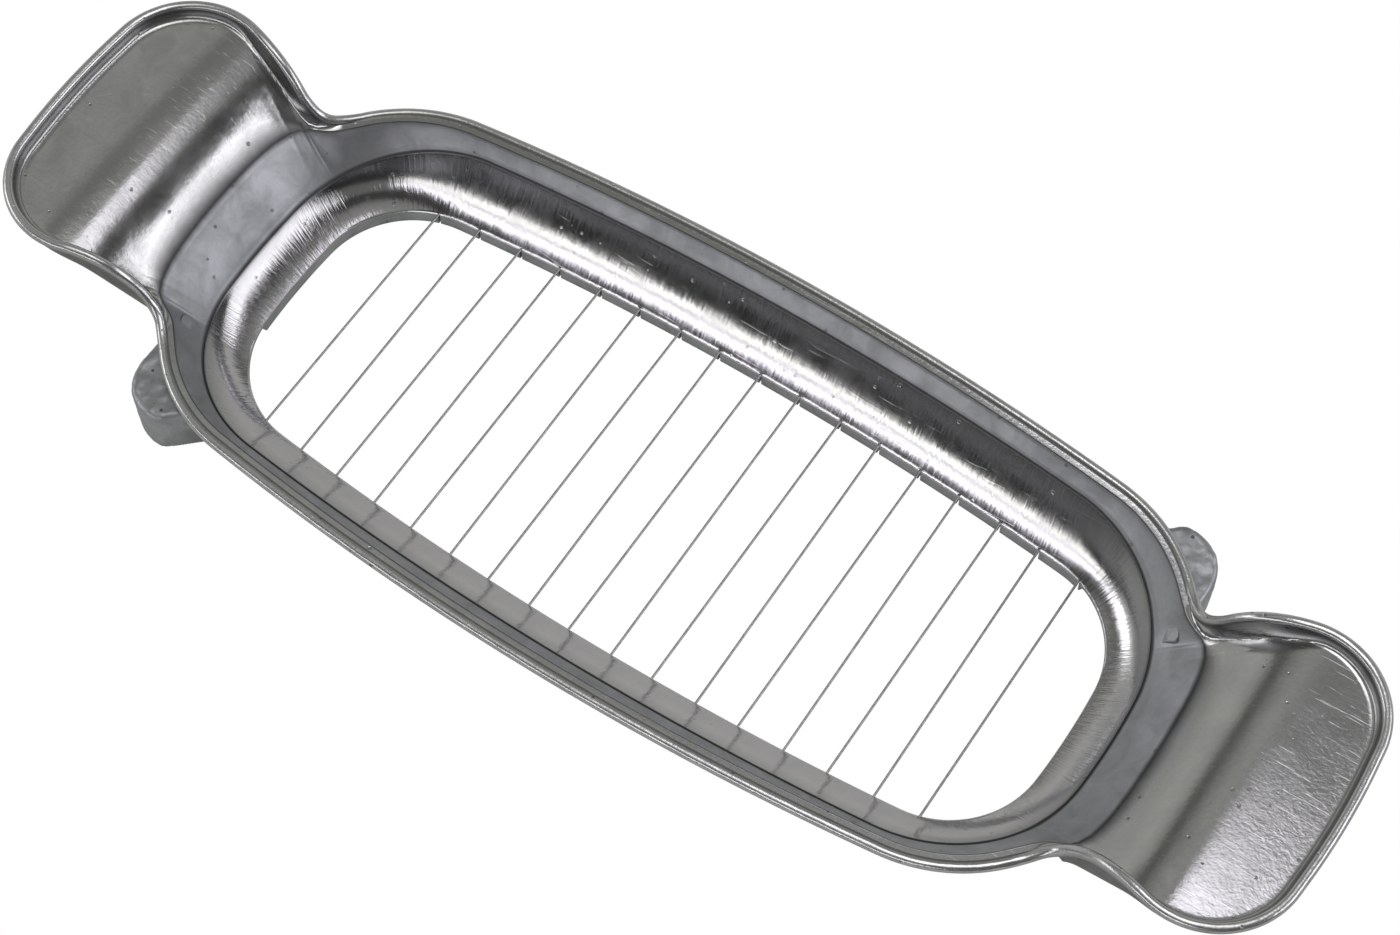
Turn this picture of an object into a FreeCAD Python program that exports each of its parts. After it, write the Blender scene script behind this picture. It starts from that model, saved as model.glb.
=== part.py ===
import FreeCAD, Part
import math
import os

# A hand wire slicer, in millimetres. X runs along its length, Z is up and the middle of the opening
# is at X = Y = 0. The pieces are drawn with the cutting wire in the plane Z = 0 and lifted together at
# the end, so that the finished slicer stands with its lip on Z = 0. The shape is the same after half
# a turn about Z, and everything but the lugs is the same in all four quarters.

V = FreeCAD.Vector

# Cutting wire
PITCH = 6.7
CROSSINGS = 17
WIRE_D = 0.35
SLOT_W = 0.56
SLOT_OVERRUN = 1.2
WIRE_BEND_R = 0.5

# Opening and the lip around it
OPEN_LENGTH = 127.6
OPEN_WIDTH = 47.2
OPEN_CORNER_R = 14.5
LIP_THICK = 2.0
LIP_BOTTOM = -2.4
LIP_RELIEF_Z = -0.7
LIP_ROOT_Z = 1.5

# Rim bead, body and handles
BEAD_R = 0.75
BEAD_ROUND = 0.7
BEAD_FOOT = 0.5
WEB_INSET = 1.0
WEB_T = 1.2
PLATE_OVERLAP = 0.5
BODY_RIM_Z = 10.05
SHELL_TOP_Z = 10.35
HANDLE_RIM_Z = 20.1
PLATE_T = 2.2
PAD_Z = 18.8
PAD_BEND_R = 14.7
HANDLE_SLOPE_X = 75.7
HANDLE_SLOPE_Z = 11.4
PAD_TURN_X = 84.1
NECK_X = 71.0
HOLLOW_RUN = 8.0

# Radius given to the corners of an outline that are left sharp
SHARP = 0.01

# Tilt of the long sides and of the ends where they run into the corner arcs, in degrees
SIDE_TILT = 5.8
END_TILT = 4.0

# Shell, cove and ledge: half length, half width and corner radius of an oval at each level
SHELL_SECTIONS = [(0.25, 67.0, 26.8, 17.7), (3.0, 71.4, 29.6, 20.5),
                  (6.4, 74.2, 32.2, 23.0), (SHELL_TOP_Z, 74.3, 34.3, 24.2)]
COVE_SECTIONS = [(0.0, 63.8, 23.6, 14.5), (1.0, 65.7, 24.8, 15.8), (2.1, 67.4, 25.9, 17.4),
                 (4.2, 69.75, 27.7, 20.6), (6.4, 71.2, 29.2, 23.0), (8.4, 72.4, 30.45, 24.2),
                 (11.4, 73.6, 31.7, 24.6)]
LEDGE_SECTIONS = [(4.2, 69.7, 25.6, 20.0), (10.4, 74.7, 32.7, 27.0), (12.0, 76.0, 34.5, 29.0)]

# Rim in plan, one quarter from the middle of a side to the middle of an end: x, y, corner radius
RIM_QUARTER = [(0, 38.2, 429.0), (61.9, 30.5, 24.8), (72.5, 19.15, 4.15), (99.4, 26.4, 12.7)]
RIM_END = (101.55, 0, 107.0)
# Rim seen from the side: where the rise from the body's level to the handle's begins and ends
RIM_RISE = [(71.35, 6.0), (78.45, 11.4)]
FAR_X = 110.0

# Clamp lugs, screws and washers, given for the lug at +X +Y
LUG_PLAN = [(70.3, 16.0), (70.3, 31.9), (62.9, 31.9), (54.5, 24.3), (54.5, 14.0)]
LUG_CORNER_R = 6.4
LUG_SIDE_R = 2.0
LUG_TOP_Z = 8.4
LUG_BOTTOM_Z = 0.2
RELIEF_Y = 7.8
SCREW_X = 63.0
SCREW_Y = 25.6
SCREW_D = 2.5
SCREW_REACH = 5.0
HEAD_D = 5.0
HEAD_H = 1.5
HEAD_ROUND = 0.6
DRIVE_SLOT_W = 0.7
DRIVE_SLOT_DEPTH = 0.6
WASHER_D = 6.0
WASHER_HOLE_D = 2.7
WASHER_T = 0.5
HOLE_DEPTH = 5.8
CLAMP_GAP = 0.02

# Number of the last crossing counted from the middle one
LAST_CROSSING = (CROSSINGS - 1) / 2

# Underside of the handle plates, parallel to their floors, and where it meets the body rim's level
SLOPE = (PAD_Z - HANDLE_SLOPE_Z) / (PAD_TURN_X - HANDLE_SLOPE_X)
PLATE_DROP = PLATE_T * math.hypot(1.0, SLOPE)
PLATE_BEND_X = PAD_TURN_X + (PLATE_DROP - PLATE_T) / SLOPE
PLATE_FOOT_X = PLATE_BEND_X - (PAD_Z - PLATE_T - BODY_RIM_Z + BEAD_R) / SLOPE


def unit(p, q):
    """Direction from p to q in the plane."""
    d = q - p
    return d * (1.0 / d.Length)


def rounded_edges(points, radii, closed):
    """Straight runs joined by tangent arcs. radii holds one radius for each point."""
    count = len(points)
    starts = []
    ends = []
    arcs = []
    for i in range(count):
        here = points[i]
        if not closed and i in (0, count - 1):
            starts.append(here)
            ends.append(here)
            arcs.append(None)
            continue
        back = unit(here, points[i - 1])
        ahead = unit(here, points[(i + 1) % count])
        half = math.acos(max(-1.0, min(1.0, back.dot(ahead)))) / 2.0
        reach = radii[i] / math.tan(half)
        middle = unit(V(), back + ahead) * (radii[i] / math.sin(half) - radii[i])
        starts.append(here + back * reach)
        ends.append(here + ahead * reach)
        arcs.append(Part.Arc(starts[i], here + middle, ends[i]).toShape())
    edges = []
    for i in range(count):
        if arcs[i] is not None:
            edges.append(arcs[i])
        if i == count - 1 and not closed:
            break
        p = ends[i]
        q = starts[(i + 1) % count]
        if (q - p).Length > 1e-4:
            edges.append(Part.makeLine(p, q))
    return edges


def oval(half_length, half_width, corner_r, z):
    """Closed outline of eight tangent arcs: two bowed sides, two bowed ends and four corners."""
    side = math.radians(SIDE_TILT)
    end = math.radians(END_TILT)
    a = half_length - corner_r
    b = half_width - corner_r
    slope = math.tan(side / 2.0)
    e = (b - a * slope) / (math.sin(end) - (1.0 - math.cos(end)) * slope)
    s = (a - e * (1.0 - math.cos(end))) / math.sin(side)
    cx = s * math.sin(side)
    cy = e * math.sin(end)
    mid = (side + math.pi / 2.0 - end) / 2.0

    def corner(angle, sx, sy):
        return V(sx * (cx + corner_r * math.sin(angle)), sy * (cy + corner_r * math.cos(angle)), z)

    last = math.pi / 2.0 - end
    quarters = [(1, 1), (1, -1), (-1, -1), (-1, 1)]
    edges = []
    for n in range(4):
        sx, sy = quarters[n]
        nx, ny = quarters[(n + 1) % 4]
        first, second = (side, last) if n % 2 == 0 else (last, side)
        edges.append(Part.Arc(corner(first, sx, sy), corner(mid, sx, sy), corner(second, sx, sy)))
        crown = V(half_length * sx, 0, z) if n % 2 == 0 else V(0, half_width * sy, z)
        edges.append(Part.Arc(corner(second, sx, sy), crown, corner(second, nx, ny)))
    return Part.Wire([edge.toShape() for edge in edges])


def skin(sections, ruled=True):
    """Solid through ovals. Each section is (z, half length, half width, corner radius)."""
    return Part.makeLoft([oval(a, b, r, z) for z, a, b, r in sections], True, ruled)


def prism(wire, low, high):
    """Upright prism on a flat outline drawn at Z = 0."""
    face = Part.Face(wire)
    face.translate(V(0, 0, low))
    return face.extrude(V(0, 0, high - low))


def side_profile(points, radii):
    """Solid from a closed outline in the XZ plane, carried across the whole width."""
    flat = rounded_edges([V(x, -60, z) for x, z in points], radii, True)
    return Part.Face(Part.Wire(flat)).extrude(V(0, 120, 0))


def both_ends(shape):
    """The shape and the same shape turned half round about Z."""
    other = shape.copy()
    other.rotate(V(), V(0, 0, 1), 180)
    return [shape, other]


def rim_outline():
    """Outer edge of the bead in plan: bowed body, waists and the two handles."""
    right = RIM_QUARTER[1:] + [RIM_END] + [(x, -y, r) for x, y, r in reversed(RIM_QUARTER[1:])]
    left = [(-x, -y, r) for x, y, r in right]
    x, y, r = RIM_QUARTER[0]
    loop = [(x, y, r)] + right + [(x, -y, r)] + left
    return Part.Wire(rounded_edges([V(x, y, 0) for x, y, r in loop], [r for x, y, r in loop], True))


def slope_z(x):
    """Level of the sloped floor between a handle's neck and its pad, on its straight stretch."""
    return HANDLE_SLOPE_Z + (x - HANDLE_SLOPE_X) * SLOPE


def rim_profile(offset):
    """Line of the rim's height seen from the side, end to end, moved up by offset."""
    half = [(RIM_RISE[0][0], BODY_RIM_Z), (RIM_RISE[1][0], HANDLE_RIM_Z), (FAR_X, HANDLE_RIM_Z + 0.3)]
    half = [(x, z + offset) for x, z in half]
    return [(-x, z) for x, z in reversed(half)] + half


def rim_bends():
    """Radii that go with rim_profile."""
    low, high = RIM_RISE[0][1], RIM_RISE[1][1]
    return [SHARP, high, low, low, high, SHARP]


def ring(outer, inner, low, high):
    """Upright wall between two insets of the rim's outline."""
    outline = rim_outline()
    outside = outline.makeOffset2D(-outer) if outer else outline
    return prism(outside, low, high).cut(prism(outline.makeOffset2D(-inner), low - 1, high + 1))


def rim_bead():
    """Bead with a rounded crest all round the casting, following the rim's height."""
    crest = rim_profile(BEAD_R)
    bends = rim_bends() + [SHARP, SHARP]
    bead = ring(0, 2 * BEAD_R, 0, 40)
    bead = bead.common(side_profile(crest + [(FAR_X, 1), (-FAR_X, 1)], bends))
    crest_edges = []
    for edge in bead.Edges:
        middle = (edge.FirstParameter + edge.LastParameter) / 2.0
        if edge.valueAt(middle).z > BODY_RIM_Z + BEAD_R - 0.05 and abs(edge.tangentAt(middle).z) < 0.95:
            crest_edges.append(edge)
    bead = bead.makeFillet(BEAD_ROUND, crest_edges)
    foot = rim_profile(-BEAD_FOOT) + [(FAR_X, 60), (-FAR_X, 60)]
    return bead.common(side_profile(foot, bends))


def handle_under():
    """Everything above the handle plates' undersides."""
    low = BODY_RIM_Z - BEAD_R
    plate = PAD_Z - PLATE_T
    under = [(PLATE_FOOT_X, low), (PLATE_BEND_X, plate), (FAR_X, plate), (FAR_X, 60)]
    points = [(-x, z) for x, z in reversed(under)] + under
    bend = PAD_BEND_R - PLATE_T
    return side_profile(points, [SHARP, SHARP, bend, SHARP, SHARP, bend, SHARP, SHARP])


def rim_web():
    """Wall under the bead, set in from its outer edge, down to the handle plates."""
    below = side_profile(rim_profile(0.0) + [(FAR_X, 1), (-FAR_X, 1)], rim_bends() + [SHARP, SHARP])
    return ring(WEB_INSET, WEB_INSET + WEB_T, 1, 40).common(below).common(handle_under())


def handle_plate():
    """Sloped and flat floor of one handle, at +X."""
    top = [(NECK_X, slope_z(NECK_X)), (PAD_TURN_X, PAD_Z), (FAR_X, PAD_Z)]
    under_z = PAD_Z - PLATE_T
    bottom = [(FAR_X, under_z), (PLATE_BEND_X, under_z), (NECK_X, slope_z(NECK_X) - PLATE_DROP)]
    bends = [SHARP, PAD_BEND_R, SHARP, SHARP, PAD_BEND_R - PLATE_T, SHARP]
    plan = prism(rim_outline().makeOffset2D(-WEB_INSET - PLATE_OVERLAP), -5, 40)
    return side_profile(top + bottom, bends).common(plan)


def handle_hollow():
    """Space above one handle's floor, at +X."""
    start = PLATE_FOOT_X - HOLLOW_RUN
    points = [(start, slope_z(start)), (PAD_TURN_X, PAD_Z), (FAR_X, PAD_Z), (FAR_X, 60), (start, 60)]
    return side_profile(points, [SHARP, PAD_BEND_R, SHARP, SHARP, SHARP])


def opening(lip=0.0):
    """Outline of the opening, or of the lip's outer face when a thickness is given."""
    return oval(OPEN_LENGTH / 2 + lip, OPEN_WIDTH / 2 + lip, OPEN_CORNER_R + lip, 0)


def lug():
    """Clamp lug at +X +Y, without its screw hole."""
    radii = [SHARP, LUG_CORNER_R, LUG_SIDE_R, SHARP, SHARP]
    outline = Part.Wire(rounded_edges([V(x, y, 0) for x, y in LUG_PLAN], radii, True))
    return prism(outline, LUG_BOTTOM_Z, LUG_TOP_Z)


def lip_y(x):
    """Half width of the opening at x."""
    ray = Part.makeLine(V(x, 1, 0), V(x, 60, 0))
    return opening().distToShape(ray)[1][0][0].y


def slots():
    """Cuts through the lip, open at the bottom, one at each end of every crossing."""
    width = LIP_THICK + 2 * SLOT_OVERRUN
    top = WIRE_D / 2 + CLAMP_GAP
    cuts = []
    for n in range(CROSSINGS):
        x = (n - LAST_CROSSING) * PITCH
        inner = lip_y(x) - SLOT_OVERRUN
        for y in (inner, -inner - width):
            corner = V(x - SLOT_W / 2, y, LIP_BOTTOM - 1)
            cuts.append(Part.makeBox(SLOT_W, width, top - LIP_BOTTOM + 1, corner))
    return cuts


def make_frame():
    """The casting: shell, lip, rim, handles and lugs in one piece, slotted for the wire."""
    lip = prism(opening(LIP_THICK), LIP_BOTTOM, LIP_ROOT_Z)
    ends = both_ends(handle_plate()) + both_ends(lug())
    solid = skin(SHELL_SECTIONS).fuse([lip, rim_bead(), rim_web()] + ends)

    outline = rim_outline()
    ledge = skin(LEDGE_SECTIONS).common(prism(outline.makeOffset2D(-2 * BEAD_R), -5, 60))
    pad = handle_hollow().common(prism(outline.makeOffset2D(-WEB_INSET - WEB_T), -5, 60))
    through = prism(opening(), LIP_BOTTOM - 5, 0.01)
    solid = solid.cut([skin(COVE_SECTIONS), through, ledge] + both_ends(pad))

    relief = Part.makeBox(30, 30, LIP_RELIEF_Z - LIP_BOTTOM + 5)
    relief.translate(V(LAST_CROSSING * PITCH + SLOT_W / 2, RELIEF_Y, LIP_BOTTOM - 5))
    hole = Part.makeCylinder(SCREW_D / 2, HOLE_DEPTH, V(SCREW_X, SCREW_Y, LUG_BOTTOM_Z))
    return solid.cut(slots() + both_ends(relief) + both_ends(hole)).removeSplitter()


def wire_route():
    """Middle line of the cutting wire: clamp loop, laced crossings, clamp loop."""
    lean = (SLOT_W - WIRE_D) / 2
    loop = SCREW_D / 2 + WIRE_D / 2 + CLAMP_GAP
    tail_y = SCREW_Y - loop
    start = [(-SCREW_X + loop, -SCREW_Y), (-SCREW_X + loop, -SCREW_Y - loop),
             (-SCREW_X - loop, -SCREW_Y - loop), (-SCREW_X - loop, -SCREW_Y + loop)]
    middle = []
    for n in range(CROSSINGS):
        x = (n - LAST_CROSSING) * PITCH
        turn = lip_y(x) + LIP_THICK + WIRE_BEND_R
        far = (x + lean * (1 if n % 2 == 0 else -1), turn)
        near = (x + lean * (-1 if n % 2 == 0 else 1), -turn)
        middle += [near, far] if n % 2 == 0 else [far, near]
    middle[0] = (middle[0][0], -tail_y)
    middle[-1] = (middle[-1][0], tail_y)
    finish = [(-x, -y) for x, y in reversed(start)]
    points = start + middle + finish
    radii = [0, loop, loop, loop] + [WIRE_BEND_R] * len(middle) + [loop, loop, loop, 0]
    return Part.Wire(rounded_edges([V(x, y, 0) for x, y in points], radii, False))


def make_wire():
    """One wire laced to and fro through the lip and clamped at both ends."""
    route = wire_route()
    first = route.Edges[0]
    start = first.valueAt(first.FirstParameter)
    section = Part.Wire(Part.makeCircle(WIRE_D / 2, start, first.tangentAt(first.FirstParameter)))
    wire = route.makePipeShell([section], True, False)
    print("wire length", round(route.Length, 1), "volume", round(wire.Volume, 3),
          "section times length", round(math.pi * WIRE_D ** 2 / 4 * route.Length, 3))
    return wire


def make_washer():
    """Washer that holds the wire's end against the lug at +X +Y."""
    top = LUG_BOTTOM_Z - WIRE_D - 2 * CLAMP_GAP
    base = V(SCREW_X, SCREW_Y, top - WASHER_T)
    return Part.makeCylinder(WASHER_D / 2, WASHER_T, base).cut(
        Part.makeCylinder(WASHER_HOLE_D / 2, WASHER_T, base))


def make_screw():
    """Slotted pan head screw at +X +Y, put in from below."""
    seat = LUG_BOTTOM_Z - WIRE_D - 2 * CLAMP_GAP - WASHER_T
    head = Part.makeCylinder(HEAD_D / 2, HEAD_H, V(SCREW_X, SCREW_Y, seat - HEAD_H))
    rim = [edge for edge in head.Edges if edge.BoundBox.ZMax < seat - HEAD_H + 0.01]
    head = head.makeFillet(HEAD_ROUND, [edge for edge in rim if edge.Length > HEAD_D])
    shank = Part.makeCylinder(SCREW_D / 2, SCREW_REACH + LUG_BOTTOM_Z - seat, V(SCREW_X, SCREW_Y, seat))
    drive = Part.makeBox(HEAD_D + 1, DRIVE_SLOT_W, DRIVE_SLOT_DEPTH + 1)
    drive.translate(V(SCREW_X - HEAD_D / 2 - 0.5, SCREW_Y - DRIVE_SLOT_W / 2, seat - HEAD_H - 1))
    return head.fuse(shank).cut(drive).removeSplitter()


def main():
    os.makedirs("parts", exist_ok=True)
    right_screw, left_screw = both_ends(make_screw())
    right_washer, left_washer = both_ends(make_washer())
    nodes = {
        "frame": make_frame(),
        "cutting_wire": make_wire(),
        "anchor_screw_left": left_screw,
        "anchor_screw_right": right_screw,
        "anchor_washer_left": left_washer,
        "anchor_washer_right": right_washer,
    }
    for name, shape in nodes.items():
        solid = shape.Solids[0].translated(V(0, 0, -LIP_BOTTOM))
        box = solid.BoundBox
        print(name, "solids", len(shape.Solids), "valid", solid.isValid(), "volume", round(solid.Volume, 1),
              "z", round(box.ZMin, 2), round(box.ZMax, 2), "x", round(box.XMin, 2), round(box.XMax, 2))
        solid.exportStep("parts/" + name + ".step")


if __name__ == "__main__":
    main()
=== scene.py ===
import math
import bpy
import numpy as np
from mathutils import Matrix, Vector, noise


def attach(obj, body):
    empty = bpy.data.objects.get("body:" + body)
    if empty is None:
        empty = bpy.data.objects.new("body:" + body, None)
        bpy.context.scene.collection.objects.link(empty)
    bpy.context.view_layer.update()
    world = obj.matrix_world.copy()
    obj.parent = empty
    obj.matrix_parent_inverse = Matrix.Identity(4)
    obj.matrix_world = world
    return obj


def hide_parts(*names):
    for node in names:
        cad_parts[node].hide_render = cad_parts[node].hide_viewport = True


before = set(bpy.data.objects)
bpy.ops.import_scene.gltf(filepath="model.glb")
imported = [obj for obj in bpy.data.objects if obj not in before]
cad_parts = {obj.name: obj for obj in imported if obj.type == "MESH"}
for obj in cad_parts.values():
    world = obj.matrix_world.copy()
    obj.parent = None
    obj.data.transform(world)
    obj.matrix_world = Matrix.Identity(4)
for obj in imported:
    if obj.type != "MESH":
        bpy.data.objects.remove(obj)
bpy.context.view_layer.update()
MM = 0.001

# The casting: one light alloy die casting that is tray, rim and both handles together.
# The cove round the opening and the handle floors are polished, the ledge above the cove is left matt,
# and the rim ends in a round bead. Lengths in this section are millimetres, z from the cutting wire up.
# An oval is half length, half width and corner radius; a section is a height and its oval; and a corner
# of a line is two coordinates and the radius of its arc.
LIFT = 2.4
SIDE_TILT = math.radians(5.8)
END_TILT = math.radians(4.0)
BEAD_R = 0.75
WEB_INSET = 1.0
LIP_THICK = 2.0
LIP_BOTTOM = -2.4
OPENING = (63.8, 23.6, 14.5)
COVE = np.array([(0.0, 63.8, 23.6, 14.5), (1.0, 65.7, 24.8, 15.8), (2.1, 67.4, 25.9, 17.4),
                 (4.2, 69.75, 27.7, 20.6), (6.4, 71.2, 29.2, 23.0), (8.4, 72.4, 30.45, 24.2),
                 (11.4, 73.6, 31.7, 24.6)])
STEP = (69.7, 30.45, 22.5)
LEDGE_TOP_Z = 10.4
SHELL = np.array([(0.25, 67.0, 26.8, 17.7), (3.0, 71.4, 29.6, 20.5), (6.4, 74.2, 32.2, 23.0),
                  (10.35, 74.3, 34.3, 24.2)])
RIM_CROWN = (0, 38.2, 429.0)
RIM_QUARTER = [(61.9, 30.5, 24.8), (72.5, 19.15, 4.15), (99.4, 26.4, 12.7)]
RIM_TIP = (101.55, 0, 107.0)
RIM_RISE = [(0, 10.05, 0), (71.35, 10.05, 6.0), (78.45, 20.1, 11.4), (110, 20.4, 0)]
PAD_FLOOR = [(66.0, 2.85, 0), (84.1, 18.8, 14.7), (110, 18.8, 0)]
PAD_UNDER = [(66.0, -0.08, 0), (84.93, 16.6, 12.5), (110, 16.6, 0)]
PLATE_Z = SHELL[-1, 0] - 0.8
SHOULDER = 0.8
ARC_STEPS = 48
LEVEL_HALVINGS, EDGE_HALVINGS = 26, 30
EDGE_POINTS, FAR = 1441, 200.0
EASE_REACH = 3
FAN_PULL, FAN_PULL_MOST = 0.6, 6.0
STATIONS = 720
SAMPLES = 201


def rounded_line(corners):
    """Dense points along straight runs joined by tangent arcs. Each corner is x, y, radius."""
    points = []
    for i, (x, y, radius) in enumerate(corners):
        here = Vector((x, y))
        if i in (0, len(corners) - 1) or not radius:
            points.append(here)
            continue
        back = (Vector(corners[i - 1][:2]) - here).normalized()
        ahead = (Vector(corners[i + 1][:2]) - here).normalized()
        half = back.angle(ahead) / 2
        middle = here + (back + ahead).normalized() * radius / math.sin(half)
        start = here + back * radius / math.tan(half) - middle
        turn = start.angle_signed(here + ahead * radius / math.tan(half) - middle)
        for step in range(ARC_STEPS + 1):
            angle = -turn * step / ARC_STEPS
            points.append(middle + Matrix.Rotation(angle, 2) @ start)
    return np.array(points)


def oval_gap(x, y, half_length, half_width, corner):
    """How far a point is outside an oval of eight tangent arcs."""
    a, b, slope = half_length - corner, half_width - corner, math.tan(SIDE_TILT / 2)
    end = (b - a * slope) / (math.sin(END_TILT) - (1 - math.cos(END_TILT)) * slope)
    side = (a - end * (1 - math.cos(END_TILT))) / math.sin(SIDE_TILT)
    cx, cy = side * math.sin(SIDE_TILT), end * math.sin(END_TILT)
    x, y = np.abs(x), np.abs(y)
    around_corner = np.hypot(x - cx, y - cy) - corner
    side_y = half_width - corner - side
    around_side = np.hypot(x, y - side_y) - corner - side
    end_x = half_length - corner - end
    around_end = np.hypot(x - end_x, y) - corner - end
    on_side = np.arctan2(x, y - side_y) < SIDE_TILT
    on_end = np.arctan2(y, x - end_x) < END_TILT
    return np.where(on_side, around_side, np.where(on_end, around_end, around_corner))


def level(x, y, sections, order):
    """Height of the smooth skin through ovals at each point of the plan."""
    z = sections[:, 0]
    curves = [np.polyfit(z, sections[:, n], order) for n in (1, 2, 3)]
    low, high = np.full_like(x, z[0]), np.full_like(x, z[-1])
    for _ in range(LEVEL_HALVINGS):
        middle = (low + high) / 2
        out = oval_gap(x, y, *[np.polyval(curve, middle) for curve in curves]) > 0
        low, high = np.where(out, middle, low), np.where(out, high, middle)
    return (low + high) / 2


def along(line, count, weight):
    """Points spread along a closed line, closer together where weight is high."""
    step = np.hypot(*np.diff(line, axis=0).T)
    middle = (line[1:] + line[:-1]) / 2
    run = np.concatenate([[0], np.cumsum(step * weight(middle))])
    wanted = np.arange(count) / count * run[-1]
    return np.stack([np.interp(wanted, run, line[:, n]) for n in (0, 1)], 1)


def outward(points):
    """Unit normals of a closed clockwise line in plan."""
    ahead = np.roll(points, -1, 0) - np.roll(points, 1, 0)
    normal = np.stack([-ahead[:, 1], ahead[:, 0]], 1)
    return normal / np.linalg.norm(normal, axis=1, keepdims=True)


def fan(start, start_out, end, end_out, samples):
    """Plan curves from start to end that leave and arrive square to both outlines."""
    t = np.linspace(0, 1, samples)[None, :, None]
    pull = np.minimum(np.linalg.norm(end - start, axis=1) * FAN_PULL, FAN_PULL_MOST)[:, None, None]
    a, b = start[:, None], end[:, None]
    da, db = start_out[:, None] * pull, end_out[:, None] * pull
    return ((2 * t**3 - 3 * t**2 + 1) * a + (t**3 - 2 * t**2 + t) * da
            + (3 * t**2 - 2 * t**3) * b + (t**3 - t**2) * db)


def crossing(gap):
    """Where along each curve the value first rises past 0, as a fraction, or 1 if it never does."""
    first = np.maximum(np.argmax(gap > 0, axis=1), 1)
    row = np.arange(len(gap))
    before, after = gap[row, first - 1], gap[row, first]
    share = np.clip(before / np.minimum(before - after, -1e-9), 0, 1)
    return np.where((gap > 0).any(axis=1), (first - 1 + share) / (gap.shape[1] - 1), 1.0)


def pick(curves, fraction):
    """The point at a fraction of the way along each curve."""
    place = np.clip(fraction, 0, 1) * (curves.shape[1] - 1)
    low = np.minimum(place.astype(int), curves.shape[1] - 2)
    part = (place - low)[:, None]
    row = np.arange(len(curves))
    return curves[row, low] * (1 - part) + curves[row, low + 1] * part


def oval_line(half_length, half_width, corner):
    """Dense points of an oval, clockwise from the middle of the +Y side."""
    points = []
    for turn in np.linspace(0, 2 * math.pi, EDGE_POINTS):
        low, high = 0.0, FAR
        for _ in range(EDGE_HALVINGS):
            middle = (low + high) / 2
            x, y = math.sin(turn) * middle, math.cos(turn) * middle
            out = oval_gap(x, y, half_length, half_width, corner) > 0
            low, high = (low, middle) if out else (middle, high)
        points.append((math.sin(turn) * low, math.cos(turn) * low))
    return np.array(points)


def runs(points):
    """Distance along a line to each of its points."""
    step = np.hypot(*np.diff(points, axis=0).T)
    return np.concatenate([[0], np.cumsum(step)])


# Outer edge of the rim in plan, clockwise from the middle of the +Y side, and the stations round it,
# which stand closer together at the waists, where the rim turns from the tray to a handle.
WAIST_X, WAIST_REACH, WAIST_DENSITY = 73, 6, 2.2
right = RIM_QUARTER + [RIM_TIP] + [(x, -y, r) for x, y, r in reversed(RIM_QUARTER)]
half_loop = [RIM_CROWN] + right
loop = half_loop + [(-x, -y, r) for x, y, r in half_loop]
rim_line = rounded_line([loop[-1]] + loop + [loop[0], loop[1]])
crown = [i for i in range(len(rim_line) - 1)
         if rim_line[i, 0] < 0 <= rim_line[i + 1, 0] and rim_line[i, 1] > 0]
rim_line = rim_line[crown[0] + 1:crown[1] + 2]
rim_line[0, 0] = rim_line[-1, 0] = 0
rim = along(rim_line, STATIONS,
            lambda p: np.where(np.abs(np.abs(p[:, 0]) - WAIST_X) < WAIST_REACH, WAIST_DENSITY, 1.0))
rim_out = outward(rim)
crest_z = np.interp(np.abs(rim[:, 0]), *rounded_line(RIM_RISE).T)

# Where each station starts on the edge of the opening: square off the sides, fanned out at the ends.
CORNER_MIDDLE = (49.3, 9.1)
WAIST = (73.2, 19.6)
WAIST_BEARING = math.radians(71)
edge_line = oval_line(*OPENING)
edge_run = runs(edge_line)
rim_run = runs(np.vstack([rim, rim[:1]]))
half = rim_run[-1] / 2
quarter_run = half / 2
in_quarter = np.abs((rim_run[:-1] + quarter_run) % half - quarter_run)
q_line = edge_line[:len(edge_line) // 4 + 1]
q_rim = rim[:STATIONS // 4 + 1]
side_knot = in_quarter[np.argmin(np.abs(q_rim[:, 0] - CORNER_MIDDLE[0]))]
waist_knot = in_quarter[np.argmin(np.hypot(q_rim[:, 0] - WAIST[0], q_rim[:, 1] - WAIST[1]))]
q_angle = np.arctan2(q_line[:, 0] - CORNER_MIDDLE[0], q_line[:, 1] - CORNER_MIDDLE[1])
on_edge = edge_run[:len(q_line)]
side_edge = np.interp(CORNER_MIDDLE[0], q_line[:, 0], on_edge)
waist_edge = np.interp(WAIST_BEARING, q_angle, on_edge)
start_run = np.interp(in_quarter, [0, side_knot, waist_knot, quarter_run],
                      [0, side_edge, waist_edge, on_edge[-1]])
start = np.stack([np.interp(start_run, on_edge, q_line[:, n]) for n in (0, 1)], 1)
start *= np.where(rim >= 0, 1, -1)
start_out = outward(start)
mean_run = (rim_run[:-1] + runs(start)) / 2

# The rings of the casting, from the inside of the lip over the top and round to the bottom of the lip.
# Each ring is a place in plan, a height and a zone number that the finish and the painted light and shade
# follow.
rings = []


def add_ring(place, z, zone):
    rings.append(np.column_stack([place, np.broadcast_to(z, STATIONS) + LIFT, np.full(STATIONS, zone)]))


def shares(count):
    """Equal fractions up to and with 1."""
    return np.linspace(0, 1, count + 1)[1:]


def smooth(x):
    """Eased step from 0 to 1."""
    x = np.clip(x, 0, 1)
    return x * x * (3 - 2 * x)


def eased(values):
    """Values round the rim with sharp turns between neighbours taken off."""
    return np.mean([np.roll(values, shift) for shift in range(-EASE_REACH, EASE_REACH + 1)], axis=0)


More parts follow.
